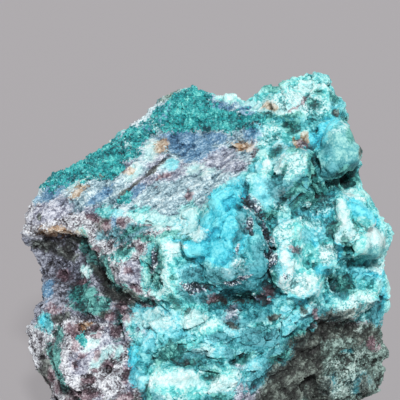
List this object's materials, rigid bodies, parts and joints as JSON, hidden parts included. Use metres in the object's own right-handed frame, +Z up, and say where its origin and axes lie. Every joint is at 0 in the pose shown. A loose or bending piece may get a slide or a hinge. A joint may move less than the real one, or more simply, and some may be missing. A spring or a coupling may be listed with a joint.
{
  "type": "rough copper mineral stone",
  "caption": "Hand-sized rough stone of quartz matrix crusted with turquoise, mint, teal and blue copper minerals, resting on a flat broken foot.",
  "frame": {"origin": "on the resting surface, under the middle of the stone's bounding box", "axes": "+Z up; -Y out of the broad mineral-covered front face; +X to the right for someone facing it"},
  "size_m": [0.0732, 0.0656, 0.0709],
  "materials": {
    "mineral": "rough broken surface, turquoise and mint copper minerals over speckled grey and white quartz, with drusy sparkle"
  },
  "bodies": {
    "root": {"stone": "mineral"}
  },
  "joints": []
}
